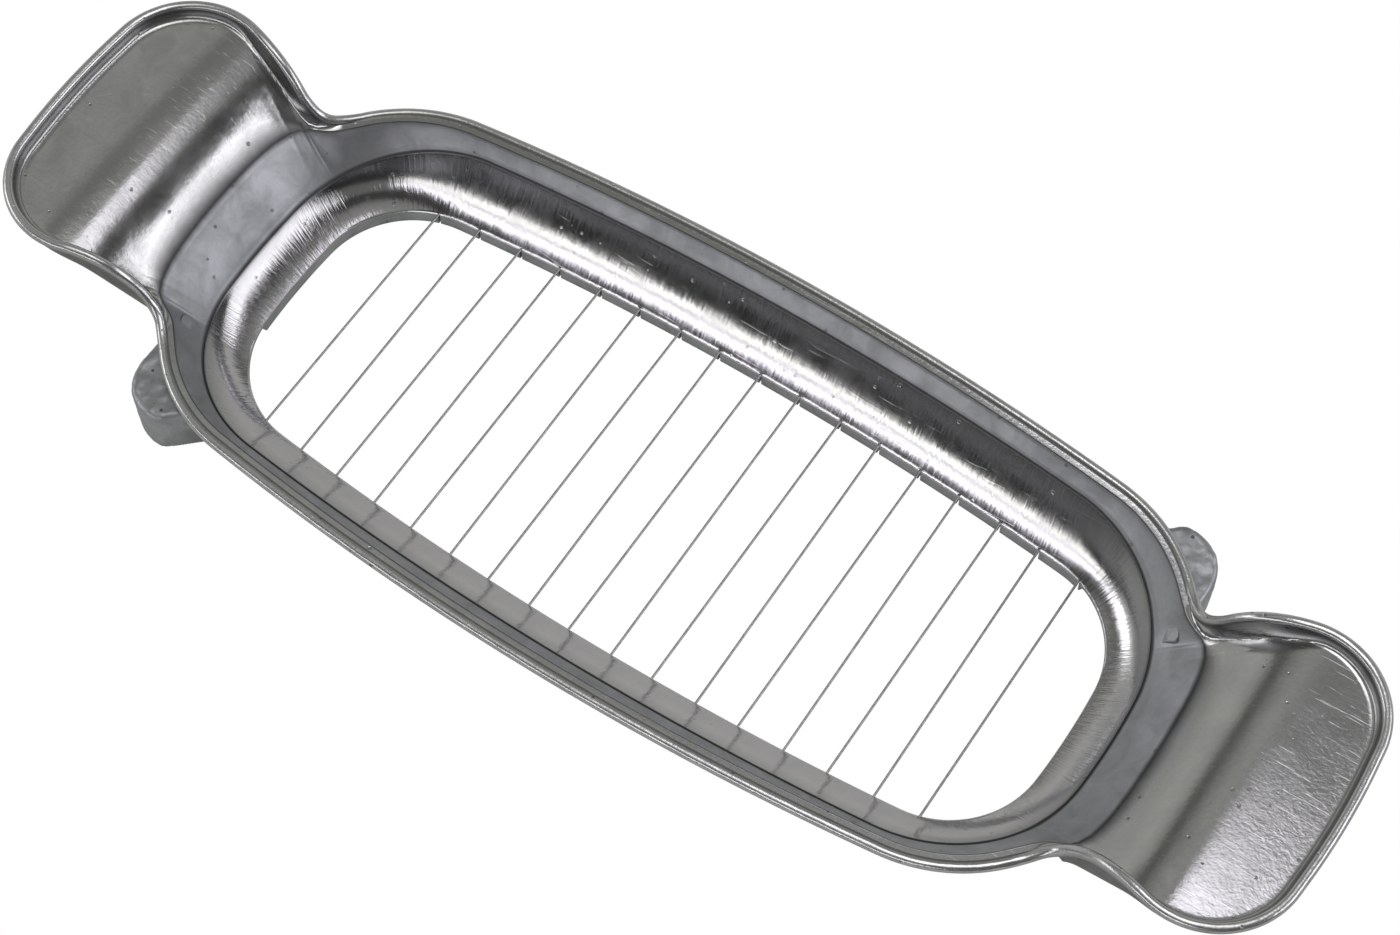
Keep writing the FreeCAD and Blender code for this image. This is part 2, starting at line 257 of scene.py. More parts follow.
# The lip's inner face, with a relief under the lip at the two corners that have clamp lugs.
RELIEF_CORNER, RELIEF_EASE, RELIEF_DEEP = (53.9, 7.8), 0.8, 1.7
side_x, side_y = np.abs(start[:, 0]), start[:, 1] * np.sign(start[:, 0])
relief = (smooth((side_x - RELIEF_CORNER[0]) / RELIEF_EASE)
          * smooth((side_y - RELIEF_CORNER[1]) / RELIEF_EASE))
foot = LIP_BOTTOM + relief * RELIEF_DEEP
for inset, rise in ((0.25, 0.0), (0.07, 0.08), (0.0, 0.25)):
    add_ring(start + start_out * inset, foot + rise, 0.0)
for share in (0.5, 0.93):
    add_ring(start, foot * (1 - share), 0.5)
# The opening's edge: its zone colour is a painted highlight, a bright line along the edge.
add_ring(start + start_out * 0.02, -0.06, 0.9)
add_ring(start + start_out * 0.10, 0.03, 0.95)

# Curves up the inside of the casting, with the step that ends the cove and the crease that ends the ledge.
# The crease is furthest out in the middle of a handle, and runs beside the bead along the sides.
CREASE_X, CREASE_WIDEST = 75.9, 18.2
CREASE_BOW, CREASE_HOOK = (1.1, 16.75), (2.0, 17.3)
bead_in = rim - rim_out * 2 * BEAD_R
top = fan(start, start_out, bead_in, rim_out, SAMPLES)
top_len = np.linalg.norm(np.diff(top, axis=1), axis=2).sum(1)
step_t = crossing(oval_gap(top[..., 0], top[..., 1], *STEP))
across = np.minimum(np.abs(top[..., 1]), CREASE_WIDEST)
crease_x = (CREASE_X - CREASE_BOW[0] * (across / CREASE_BOW[1]) ** 2
            - CREASE_HOOK[0] * (across / CREASE_HOOK[1]) ** 8)
handle_t = crossing(np.abs(top[..., 0]) - crease_x)
shoulder_t = crossing(SHOULDER - np.linalg.norm(top - bead_in[:, None], axis=2))
crease_t = eased(np.minimum(handle_t, shoulder_t))

# The polished cove, coloured darker towards its top as painted shade, then the fine groove, coloured dark
# as painted shade, and the small step up to the ledge.
COVE_ORDER = 4
GROOVE_LIP, STEP_UP = 0.16, 0.1
for share in shares(18):
    place = pick(top, step_t * share - (GROOVE_LIP / top_len if share == 1 else 0))
    z = level(place[:, 0], place[:, 1], COVE, COVE_ORDER)
    add_ring(place, z, 1.0 + share)
step_z = z
add_ring(pick(top, step_t - 0.05 / top_len), step_z - 0.10, 2.02)
add_ring(pick(top, step_t + 0.07 / top_len), step_z, 2.06)

# The matt ledge, which slopes up from the step to the crease, where its colour turns dark as painted shade.
CREASE_Z, CREASE_SAG, CREASE_HALF = 11.45, 1.05, 17.25
CREASE_LIP = 0.12
crease = pick(top, crease_t)
crease_y = np.abs(crease[:, 1])
on_handle = handle_t < shoulder_t
crease_z = eased(np.where(on_handle, CREASE_Z - CREASE_SAG * (crease_y / CREASE_HALF) ** 2, LEDGE_TOP_Z))
for share in shares(9):
    z = step_z + STEP_UP + (crease_z - step_z - STEP_UP) * share
    back = CREASE_LIP / top_len if share == 1 else 0
    place = pick(top, step_t + (crease_t - step_t) * share - back)
    add_ring(place, z, 2.1 + 0.8 * share)

# The handle floors beyond the crease, or a narrow strip along the sides, rounded up into the bead. The last
# ring, in the valley before the bead, is coloured dark as painted shade.
FILLET, FILLET_SHARE = 0.9, 0.8
FLOOR_EASE, STRIP_RISE = 9.0, 0.07
floor_line = rounded_line(PAD_FLOOR).T
gap = (1 - crease_t) * top_len
fillet = np.minimum(FILLET, FILLET_SHARE * gap)
offset = crease_z - np.interp(np.abs(crease[:, 0]), *floor_line)
# The first rings beyond the crease carry on the painted shade of the crease before the pad's own colour.
for share in np.concatenate([[0.008, 0.025, 0.05], 1 - (1 - shares(18)) ** 1.9]):
    place = pick(top, crease_t + (1 - crease_t) * share)
    away = np.abs(place[:, 0]) - np.abs(crease[:, 0])
    line_z = np.interp(np.abs(place[:, 0]), *floor_line)
    z = np.where(on_handle, line_z + offset * (1 - smooth(away / FLOOR_EASE)),
                 LEDGE_TOP_Z + STRIP_RISE * share)
    near = np.clip(np.linalg.norm(bead_in - place, axis=1) / np.maximum(fillet, 1e-6), 0, 1)
    lift = np.maximum(crest_z - z, 0) * (1 - np.sqrt(1 - (1 - near) ** 2))
    add_ring(place, z + lift, 3.0 + 0.9 * share)
inner_z = z + lift

# The bead: a round rope of metal that follows the rim up over the handles, uneven from hand polishing. Its
# colour is painted darker at its inner foot and on its lower outer side: painted shade.
BEAD_END = -math.pi / 3
BEAD_RINGS, BEAD_WAVE, WAVE_SCALE, WAVE_DRIFT = 19, 0.035, 0.9, 7
centre = np.column_stack([rim - rim_out * BEAD_R, crest_z])
ahead = np.roll(centre, -1, 0) - np.roll(centre, 1, 0)
ahead /= np.linalg.norm(ahead, axis=1, keepdims=True)
side = np.column_stack([rim_out, np.zeros(STATIONS)])
up = np.cross(side, ahead)
up *= np.sign(up[:, 2:])
first = math.pi - np.arcsin(np.clip((inner_z - crest_z) / BEAD_R, -0.9, 0.9))
for share in shares(BEAD_RINGS):
    turn = (first + (BEAD_END - first) * share)[:, None]
    drift = Vector((0, 0, WAVE_DRIFT * share))
    wave = np.array([noise.noise(Vector(c) * WAVE_SCALE + drift) for c in centre])
    radius = BEAD_R * (1 + BEAD_WAVE * wave[:, None] * math.sin(math.pi * min(1, share * 1.3)))
    point = centre + radius * (np.cos(turn) * side + np.sin(turn) * up)
    add_ring(point[:, :2], point[:, 2], 4.0 + 0.9 * share)

# Outside and underside: the web under the bead, the handle plates' undersides and the tray's outer skin.
SHELL_ORDER = 3
HANDLE_FROM, PLATE_FROM = 75, 70
NO_SHELL = 99.0
WEB_DROP, WEB_ROUND = 0.7, 1.8
UNDER_END, UNDER_LOW = 0.985, 0.25
web = rim - rim_out * WEB_INSET
lip_out = start + start_out * LIP_THICK
below = fan(web, -rim_out, lip_out, -start_out, SAMPLES)
below_x, below_y = below[..., 0], below[..., 1]
shell_z = level(below_x, below_y, SHELL, SHELL_ORDER)
shell_z = np.where(shell_z > SHELL[-1, 0] - 0.01, NO_SHELL, shell_z)
plate_z = np.interp(np.abs(below_x), *rounded_line(PAD_UNDER).T)
handle_here = (on_handle | (np.abs(rim[:, 0]) > HANDLE_FROM))[:, None]
plate_z = np.where(handle_here & (np.abs(below_x) > PLATE_FROM), plate_z, PLATE_Z)
under_z = np.minimum(shell_z, plate_z)
join_t = crossing(plate_z - shell_z)
below_curves = np.dstack([below, under_z])
web_foot = below_curves[:, 0, 2]
wall = np.maximum(crest_z - WEB_DROP - web_foot, 0.0)
below_len = np.linalg.norm(np.diff(below, axis=1), axis=2).sum(1)
round_in = np.minimum(WEB_ROUND, wall)
join_t = np.maximum(join_t, round_in / below_len + 0.05)
# The web under the bead is coloured darker than the rest of the outside, lightening on the underside beyond
# it: painted shadow under the bead.
for turn in np.radians((8, 25, 42, 60, 78)):
    spot = pick(below_curves, round_in * (1 - math.cos(turn)) / below_len)
    add_ring(spot[:, :2], spot[:, 2] + wall * (1 - math.sin(turn)), 5.0 + turn / 4)
for share in shares(14):
    spot = pick(below_curves, (round_in / below_len) * (1 - share) + join_t * share)
    add_ring(spot[:, :2], spot[:, 2], 5.5 + 0.5 * share)
for share in shares(12):
    spot = pick(below_curves, join_t + (1 - join_t) * share * UNDER_END)
    add_ring(spot[:, :2], np.maximum(spot[:, 2], UNDER_LOW), 6.1 + 0.8 * share)
add_ring(lip_out + start_out * 0.02, 0.12, 7.0)
for share in (0.5, 0.92):
    add_ring(lip_out, foot * share, 7.3)
add_ring(lip_out - start_out * 0.08, foot + 0.05, 7.6)
add_ring(lip_out - start_out * 0.3, foot, 7.8)
add_ring(start + start_out * 0.25, foot, 8.0)
rings = np.array(rings)

# The mesh: a circle of stations, extruded once for each ring and then laid out on the rings.
bpy.ops.object.select_all(action="DESELECT")
bpy.ops.mesh.primitive_circle_add(vertices=STATIONS, radius=1.0, enter_editmode=True)
for _ in rings[1:]:
    bpy.ops.mesh.extrude_edges_move()
bpy.ops.object.mode_set(mode="OBJECT")
casting = bpy.context.object
casting.name = "casting"
mesh = casting.data
turned = np.zeros(len(mesh.vertices) * 3)
mesh.vertices.foreach_get("co", turned)
turned = turned.reshape(-1, 3)
bearing = np.arctan2(turned[:, 1], turned[:, 0]) % (2 * math.pi)
station = np.round(bearing / (2 * math.pi) * STATIONS).astype(int) % STATIONS
level_of = np.arange(len(station)) // STATIONS
places = rings[level_of, -station]
mesh.vertices.foreach_set("co", (places[:, :3] * MM).ravel())
mesh.update()

# Run of the surface round the rim and zone number, kept as the casting's own map for its finish and its
# painted light and shade.
STATION_GAP = 0.7
surface = mesh.uv_layers.new(name="surface")
corner_vertex = np.zeros(len(mesh.loops), dtype=int)
mesh.loops.foreach_get("vertex_index", corner_vertex)
corner_station = ((-station) % STATIONS)[corner_vertex].reshape(-1, 4)
corner_run = mean_run[corner_station]
past_the_end = (corner_station.max(1) - corner_station.min(1) > 5)[:, None] & (corner_station < 5)
corner_run += np.where(past_the_end, mean_run[-1] + STATION_GAP, 0)
corner_zone = places[:, 3][corner_vertex]
corner_uv = np.column_stack([corner_run.ravel(), corner_zone]).astype(np.float32)
surface.data.foreach_set("uv", corner_uv.ravel())

bpy.ops.object.mode_set(mode="EDIT")
bpy.ops.mesh.select_all(action="SELECT")
bpy.ops.mesh.remove_doubles(threshold=1e-7)
bpy.ops.mesh.normals_make_consistent(inside=False)
bpy.ops.object.mode_set(mode="OBJECT")

# Saw cuts through the lip that the wire is laced through, open at the bottom, one at each end of every
# crossing. Neighbouring crossings lean opposite ways, because one wire is laced to and fro.
PITCH = 6.7
CROSSINGS = 17
SLOT_WIDE, SLOT_LONG, SLOT_OVERRUN, WIRE_LEAN = 0.38, 4.4, 1.2, 0.105
SLOT_Z = (-3.4, 0.195)
SMOOTH_BELOW = math.radians(32)
slot_size = (SLOT_WIDE * MM, SLOT_LONG * MM, (SLOT_Z[1] - SLOT_Z[0]) * MM)
bpy.ops.object.select_all(action="DESELECT")
bpy.ops.mesh.primitive_cube_add(size=1, enter_editmode=True)
bpy.ops.mesh.delete(type="VERT")
for crossing_number in range(CROSSINGS):
    x = (crossing_number - CROSSINGS // 2) * PITCH
    y = np.interp(abs(x), q_line[:, 0], q_line[:, 1]) - SLOT_OVERRUN + SLOT_LONG / 2
    lean = WIRE_LEAN if crossing_number % 2 == 0 else -WIRE_LEAN
    for way in (1, -1):
        at = ((x + lean * way) * MM, y * way * MM, (sum(SLOT_Z) / 2 + LIFT) * MM)
        bpy.ops.mesh.primitive_cube_add(size=1, location=at, scale=slot_size)
bpy.ops.object.mode_set(mode="OBJECT")
saw = bpy.context.object
bpy.ops.object.select_all(action="DESELECT")
casting.select_set(True)
bpy.context.view_layer.objects.active = casting
cut = casting.modifiers.new("saw_cuts", "BOOLEAN")
cut.operation = "DIFFERENCE"
cut.solver = "EXACT"
cut.object = saw
bpy.ops.object.modifier_apply(modifier="saw_cuts")
bpy.data.objects.remove(saw)
bpy.ops.object.shade_smooth_by_angle(angle=SMOOTH_BELOW)


def put(tree, kind, inputs=(), **settings):
    """A node with its settings made and its inputs given values or linked."""
    node = tree.nodes.new(kind)
    for name, value in settings.items():
        setattr(node, name, value)
    for name, value in dict(inputs).items():
        if isinstance(value, bpy.types.NodeSocket):
            tree.links.new(value, node.inputs[name])
        else:
            node.inputs[name].default_value = value
    return node


def ramp(tree, factor, stops):
    """A colour ramp. Each stop is a position and a grey or a colour."""
    node = put(tree, "ShaderNodeValToRGB", {"Fac": factor})
    steps = node.color_ramp.elements
    steps[0].position, steps[-1].position = stops[0][0], stops[-1][0]
    for position, value in stops[1:-1]:
        steps.new(position)
    for step, (position, value) in zip(steps, stops):
        step.color = tuple(value) + (1,) if isinstance(value, tuple) else (value, value, value, 1)
    return node.outputs["Color"]


# Wear that every metal here has: fine grain, broad cloudy tone, sparse pits and thin scratches.
wear = bpy.data.node_groups.new("metal_wear", "ShaderNodeTree")
wear.interface.new_socket("Vector", in_out="INPUT", socket_type="NodeSocketVector")
wear.interface.new_socket("Scale", in_out="INPUT", socket_type="NodeSocketFloat")
for name in ("Grain", "Mottle", "Pits", "Scratches"):
    wear.interface.new_socket(name, in_out="OUTPUT", socket_type="NodeSocketFloat")
given = wear.nodes.new("NodeGroupInput")
in_mm = put(wear, "ShaderNodeVectorMath", {0: given.outputs["Vector"], "Scale": 1 / MM}, operation="SCALE")
sized = put(wear, "ShaderNodeVectorMath", {0: in_mm.outputs[0], "Scale": given.outputs["Scale"]},
            operation="SCALE").outputs[0]
grain = put(wear, "ShaderNodeTexNoise", {"Vector": sized, "Scale": 1.7, "Detail": 4.0, "Roughness": 0.62})
cloud = put(wear, "ShaderNodeTexNoise", {"Vector": sized, "Scale": 0.21, "Detail": 5.0, "Roughness": 0.6,
                                         "Distortion": 0.6})
mottle = put(wear, "ShaderNodeMapRange", {"Value": cloud.outputs[0], "From Min": 0.36, "From Max": 0.64})
cells = put(wear, "ShaderNodeTexVoronoi", {"Vector": sized, "Scale": 0.62})
cell_tone = put(wear, "ShaderNodeSeparateColor", {"Color": cells.outputs["Color"]})
chance = put(wear, "ShaderNodeMapRange", {"Value": cell_tone.outputs[0], "From Min": 0.62,
                                          "From Max": 0.95})
reach = put(wear, "ShaderNodeMath", {0: chance.outputs[0], 1: 0.20}, operation="MULTIPLY")
inside = put(wear, "ShaderNodeMath", {0: reach.outputs[0], 1: cells.outputs["Distance"]},
             operation="SUBTRACT")
pit = put(wear, "ShaderNodeMapRange", {"Value": inside.outputs[0], "From Min": 0.0, "From Max": 0.06})
turned_way = put(wear, "ShaderNodeMapping", {"Vector": sized, "Rotation": (0.3, 0.2, 0.7),
                                            "Scale": (0.10, 2.6, 0.9)})
strand = put(wear, "ShaderNodeTexNoise", {"Vector": turned_way.outputs[0], "Scale": 1.0, "Detail": 2.0})
scratch = put(wear, "ShaderNodeMapRange", {"Value": strand.outputs[0], "From Min": 0.66, "From Max": 0.70})
put(wear, "NodeGroupOutput", {"Grain": grain.outputs[0], "Mottle": mottle.outputs[0],
                              "Pits": pit.outputs[0], "Scratches": scratch.outputs[0]})

# Finish and painted light and shade of the casting by zone round its section: 0 as-cast lip with a painted
# highlight along the opening's edge, 1 polished cove with painted shade towards its top, 2 groove in
# painted shade and matt ledge, 3 crease in painted shade and polished pad, 4 valley in painted shade and
# rubbed bead, painted darker on its lower outer side as shade, 5 web in painted shadow under the bead, 6 to
# 8 the as-cast outside.
# The amounts are of polishing lines, of grain and mottle, and of pits.
ZONES = 8
alloy = bpy.data.materials.new("cast_alloy_finish_and_shade")
alloy.use_nodes = True
tree = alloy.node_tree
shader = tree.nodes["Principled BSDF"]
here = put(tree, "ShaderNodeTexCoord").outputs["Object"]
map_node = put(tree, "ShaderNodeUVMap", uv_map="surface")
run_zone = put(tree, "ShaderNodeSeparateXYZ", {0: map_node.outputs[0]})
zone = put(tree, "ShaderNodeMath", {0: run_zone.outputs["Y"], 1: 1 / ZONES},
           operation="MULTIPLY").outputs[0]
worn = put(tree, "ShaderNodeGroup", {}, node_tree=wear)
tree.links.new(here, worn.inputs["Vector"])
worn.inputs["Scale"].default_value = 1.0
# Colour by zone: the bright stop at 0.94 is a painted highlight on the opening's edge; the dark stops from
# 1.6 to 1.93, at 2.01 to 2.07, 2.92 to 3.0, 3.9 to 4.06 and 4.75 to 5.2 are painted shade.
ZONE_COLOUR_AND_SHADE = [(0.0, (0.46, 0.47, 0.49)), (0.9, (0.48, 0.49, 0.51)), (0.94, (0.85, 0.85, 0.87)),
               (1.02, (0.66, 0.65, 0.68)), (1.6, (0.66, 0.65, 0.68)), (1.93, (0.40, 0.40, 0.41)),
               (2.01, (0.14, 0.14, 0.15)), (2.07, (0.14, 0.14, 0.15)), (2.12, (0.44, 0.45, 0.48)),
               (2.84, (0.44, 0.45, 0.48)), (2.92, (0.13, 0.13, 0.14)), (3.0, (0.10, 0.10, 0.105)),
               (3.08, (0.56, 0.56, 0.57)), (3.8, (0.60, 0.60, 0.61)), (3.9, (0.22, 0.22, 0.22)),
               (4.06, (0.30, 0.30, 0.30)), (4.2, (0.72, 0.72, 0.74)), (4.55, (0.66, 0.66, 0.68)),
               (4.75, (0.32, 0.32, 0.33)), (5.2, (0.26, 0.26, 0.27)), (6.0, (0.52, 0.53, 0.56)),
               (8.0, (0.46, 0.47, 0.50))]
ZONE_ROUGH = [(0.0, 0.50), (0.9, 0.45), (0.94, 0.20), (1.02, 0.11), (1.96, 0.12), (2.01, 0.6), (2.07, 0.6),
              (2.12, 0.42), (2.9, 0.42), (3.0, 0.5), (3.08, 0.14), (3.8, 0.13), (3.9, 0.4), (4.2, 0.20),
              (4.7, 0.26), (5.0, 0.36), (6.0, 0.42), (8.0, 0.48)]
ZONE_AMOUNT = [(0.0, (0.0, 0.9, 0.6)), (0.9, (0.0, 0.5, 0.3)), (1.02, (1.0, 0.05, 0.15)),
               (1.96, (0.9, 0.08, 0.3)), (2.02, (0.0, 0.3, 0.3)), (2.12, (0.0, 0.50, 0.4)),
               (2.9, (0.0, 0.55, 0.5)),
               (3.08, (0.0, 0.14, 0.6)), (3.9, (0.0, 0.5, 0.8)), (4.2, (0.35, 0.35, 0.9)),
               (4.7, (0.3, 0.6, 1.0)), (5.1, (0.0, 0.8, 0.9)), (8.0, (0.0, 0.9, 0.9))]
zone_colour_and_shade, zone_rough, zone_amount = (ramp(tree, zone, [(at / ZONES, value) for at, value in stops])
                                        for stops in (ZONE_COLOUR_AND_SHADE, ZONE_ROUGH, ZONE_AMOUNT))
amount = put(tree, "ShaderNodeSeparateColor", {0: zone_amount})
line_amount, grain_amount, pit_amount = amount.outputs


def times(a, b):
    """Product of two values in the material being made."""
    return put(tree, "ShaderNodeMath", {0: a, 1: b}, operation="MULTIPLY").outputs[0]


def plus(a, b):
    """Sum of two values in the material being made."""
    return put(tree, "ShaderNodeMath", {0: a, 1: b}, operation="ADD").outputs[0]


# Polishing lines run across the bands, from the opening out, so they follow the casting's own map.
# Both handle floors carry fine hairs along X, and the right one has worm-like marks towards its end.
lay = put(tree, "ShaderNodeVectorMath", {0: map_node.outputs[0], 1: (1.5, 1.1, 1.0)}, operation="MULTIPLY")
brushed = put(tree, "ShaderNodeTexNoise", {"Vector": lay.outputs[0], "Scale": 1.0, "Detail": 3.0,
                                           "Roughness": 0.6})
ripple = put(tree, "ShaderNodeTexNoise", {"Vector": here, "Scale": 210.0, "Detail": 2.0, "Roughness": 0.5})
worms = put(tree, "ShaderNodeTexNoise", {"Vector": here, "Scale": 620.0, "Detail": 1.0, "Distortion": 2.2})
along_x = put(tree, "ShaderNodeSeparateXYZ", {0: here}).outputs["X"]
past = put(tree, "ShaderNodeMath", {0: along_x}, operation="ABSOLUTE").outputs[0]
on_handles = put(tree, "ShaderNodeMapRange", {"Value": past, "From Min": 0.075,
                                              "From Max": 0.077}).outputs[0]
hair_way = put(tree, "ShaderNodeVectorMath", {0: here, 1: (420.0, 1700.0, 420.0)}, operation="MULTIPLY")
hairs = put(tree, "ShaderNodeTexNoise", {"Vector": hair_way.outputs[0], "Scale": 1.0, "Detail": 3.0})
right_pad = put(tree, "ShaderNodeMapRange", {"Value": along_x, "From Min": 0.083,
                                             "From Max": 0.095}).outputs[0]

# Colour is darkened by mottle, pits and grain. Relief is the sum of each effect times its height.
pits = times(worn.outputs["Pits"], pit_amount)
tint = plus(times(times(worn.outputs["Mottle"], grain_amount), -0.38), 1.0)
tint = times(tint, plus(times(pits, -0.65), 1.0))
tint = times(tint, plus(times(worn.outputs["Grain"], 0.16), 0.92))
colour = put(tree, "ShaderNodeMix", {0: 1.0}, data_type="RGBA", blend_type="MULTIPLY")
tree.links.new(zone_colour_and_shade, colour.inputs[6])
tree.links.new(tint, colour.inputs[7])
tree.links.new(colour.outputs[2], shader.inputs["Base Color"])
rough = plus(plus(zone_rough, times(worn.outputs["Mottle"], 0.06)), times(pits, 0.25))
tree.links.new(rough, shader.inputs["Roughness"])
height = plus(times(times(brushed.outputs[0], line_amount), 2.4),
              times(times(worn.outputs["Grain"], grain_amount), 1.6))
height = plus(height, times(pits, -2.2))
height = plus(height, times(ripple.outputs[0], 0.7))
height = plus(height, times(worn.outputs["Scratches"], -0.12))
height = plus(height, times(times(worms.outputs[0], right_pad), 0.3))
height = plus(height, times(times(hairs.outputs[0], on_handles), 0.22))
bump = put(tree, "ShaderNodeBump", {"Height": height, "Distance": 0.00003, "Strength": 1.0})
tree.links.new(bump.outputs[0], shader.inputs["Normal"])
shader.inputs["Metallic"].default_value = 1.0
casting.data.materials.append(alloy)
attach(casting, "root")
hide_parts("frame")

# The two clamp lugs: rough tongues cast under opposite corners of the tray, where the wire's ends are held.
# They are part of the casting and are left as they come from the die, with uneven tops.
LUG_PLAN = [(70.3, 16.0, 0), (70.3, 31.9, 6.4), (62.9, 31.9, 2.0), (54.5, 24.3, 0), (54.5, 14.0, 0)]
LUG_Z = (0.2, 8.4)
EDGE_ROUND, VOXEL = 0.7, 0.3
WALL_MIDDLE = 0.7
LEDGE = np.array([(4.2, 69.7, 25.6, 20.0), (10.4, 74.7, 32.7, 27.0)])
ALL_HEIGHTS = -1.0
INWARD = 4
TOP_LUMPS, TOP_FROM, TOP_OVER = 0.15, 5.5, 2.5
SIDE_LUMPS, SIDE_FROM, SIDE_OVER = 0.05, 1.0, 2.0
AS_CAST_ZONE = 6.5
lug_line = rounded_line(LUG_PLAN)
for name, way in (("clamp_lug_right", 1), ("clamp_lug_left", -1)):
    bpy.ops.object.select_all(action="DESELECT")
    bpy.ops.mesh.primitive_circle_add(vertices=len(lug_line), radius=1.0, fill_type="NGON")
    lug = bpy.context.object
    lug.name = name
    for vertex, (x, y) in zip(lug.data.vertices, lug_line):
        vertex.co = (x * MM, y * MM, (LUG_Z[0] + LIFT) * MM)
    bpy.ops.object.mode_set(mode="EDIT")
    bpy.ops.mesh.select_all(action="SELECT")
    bpy.ops.mesh.extrude_region_move(TRANSFORM_OT_translate={"value": (0, 0, (LUG_Z[1] - LUG_Z[0]) * MM)})
    bpy.ops.mesh.bevel(offset=EDGE_ROUND * MM, segments=4)
    bpy.ops.mesh.select_all(action="SELECT")
    bpy.ops.mesh.normals_make_consistent(inside=False)
    bpy.ops.object.mode_set(mode="OBJECT")
    fine = lug.modifiers.new("fine", "REMESH")
    fine.mode = "VOXEL"
    fine.voxel_size = VOXEL * MM
    bpy.ops.object.modifier_apply(modifier="fine")

    # Points that would come through the cove or the ledge are moved out into the casting's wall.
    spots = np.zeros(len(lug.data.vertices) * 3)
    lug.data.vertices.foreach_get("co", spots)
    spots = spots.reshape(-1, 3) / MM
    height_here = spots[:, 2] - LIFT
    for sections, order, lowest in ((COVE, COVE_ORDER, ALL_HEIGHTS), (LEDGE, 1, LEDGE[0, 0])):
        curves = [np.polyfit(sections[:, 0], sections[:, n], order) for n in (1, 2, 3)]
        sizes = [np.polyval(curve, height_here) + WALL_MIDDLE for curve in curves]
        gap_in = oval_gap(spots[:, 0], spots[:, 1], *sizes)
        middle = np.stack([sizes[0] - sizes[2] - INWARD, sizes[1] - sizes[2] - INWARD], 1).clip(0)
        away = spots[:, :2] - middle
        away /= np.maximum(np.linalg.norm(away, axis=1, keepdims=True), 1e-6)
        moved = np.where((gap_in < 0) & (height_here > lowest), -gap_in, 0)
        spots[:, :2] += moved[:, None] * away

    # Uneven as-cast faces, mostly on the top.
    lumps = np.array([noise.noise(Vector(c) * 0.55) + 0.5 * noise.noise(Vector(c) * 1.3) for c in spots])
    spots[:, 2] += TOP_LUMPS * lumps * smooth((height_here - TOP_FROM) / TOP_OVER)
    sideways = SIDE_LUMPS * lumps * smooth((height_here - SIDE_FROM) / SIDE_OVER)
    spots[:, :2] += sideways[:, None] * np.sign(away)
    spots[:, :2] *= way
    lug.data.vertices.foreach_set("co", (spots * MM).ravel())
    lug.data.update()
    bpy.ops.object.shade_smooth()
    lug_map = lug.data.uv_layers.new(name="surface")
    for corner, loop_corner in zip(lug_map.data, lug.data.loops):
        corner.uv = (spots[loop_corner.vertex_index, 0], AS_CAST_ZONE)
    lug.data.materials.append(alloy)
    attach(lug, "root")
    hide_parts("frame")

# The cutting wire, the screws and the washers: one length of hard drawn bright wire, laced through the saw
# cuts, whose ends are clamped under the lugs by turned screws and stamped washers, all in plain steel.
for slot_name, names, colour_here, rough_here, bumps in (
        ("wire_steel", ["cutting_wire"], (0.50, 0.50, 0.51), 0.42, 0.0),
        ("screw_steel", ["anchor_screw_left", "anchor_screw_right"], (0.60, 0.60, 0.58), 0.30, 0.8),
        ("washer_steel", ["anchor_washer_left", "anchor_washer_right"], (0.66, 0.65, 0.62), 0.36, 0.9)):
    steel = bpy.data.materials.new(slot_name + "_finish")
    steel.use_nodes = True
    tree = steel.node_tree
    shader = tree.nodes["Principled BSDF"]
    here = put(tree, "ShaderNodeTexCoord").outputs["Object"]
    worn = put(tree, "ShaderNodeGroup", {}, node_tree=wear)
    tree.links.new(here, worn.inputs["Vector"])
    worn.inputs["Scale"].default_value = 3.0
    dim = plus(times(worn.outputs["Mottle"], -0.22), 1.0)
    tone = put(tree, "ShaderNodeMix", {0: 1.0}, data_type="RGBA", blend_type="MULTIPLY")
    tone.inputs[6].default_value = colour_here + (1,)
    tree.links.new(dim, tone.inputs[7])
    tree.links.new(tone.outputs[2], shader.inputs["Base Color"])
    tree.links.new(plus(times(worn.outputs["Grain"], 0.14), rough_here - 0.07), shader.inputs["Roughness"])
    relief_here = plus(times(worn.outputs["Grain"], bumps),
                       times(worn.outputs["Scratches"], -0.4 * bumps))
    bump = put(tree, "ShaderNodeBump", {"Height": relief_here, "Distance": 0.00001, "Strength": 1.0})
    tree.links.new(bump.outputs[0], shader.inputs["Normal"])
    shader.inputs["Metallic"].default_value = 1.0
    for name in names:
        for material_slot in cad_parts[name].material_slots:
            material_slot.material = steel

# The floor: a plain sweep. The camera sees it as pure white, and the metal reflects it as pale grey paint
# that glows a little.
bpy.ops.object.select_all(action="DESELECT")
bpy.ops.mesh.primitive_plane_add(size=5.0, location=(0, 0, 0))
floor = bpy.context.object
floor.name = "floor"
paint = bpy.data.materials.new("floor_paint")
paint.use_nodes = True
tree = paint.node_tree
shader = tree.nodes["Principled BSDF"]
shader.inputs["Base Color"].default_value = (0.55, 0.55, 0.53, 1)
shader.inputs["Roughness"].default_value = 0.9
shader.inputs["Emission Color"].default_value = (1, 1, 0.96, 1)
shader.inputs["Emission Strength"].default_value = 0.16
glow = put(tree, "ShaderNodeEmission", {"Color": (1, 1, 1, 1), "Strength": 1.0})
seen = put(tree, "ShaderNodeLightPath")
both = put(tree, "ShaderNodeMixShader", {0: seen.outputs["Is Camera Ray"], 1: shader.outputs[0],
                                         2: glow.outputs[0]})
tree.links.new(both.outputs[0], tree.nodes["Material Output"].inputs[0])
floor.data.materials.append(paint)


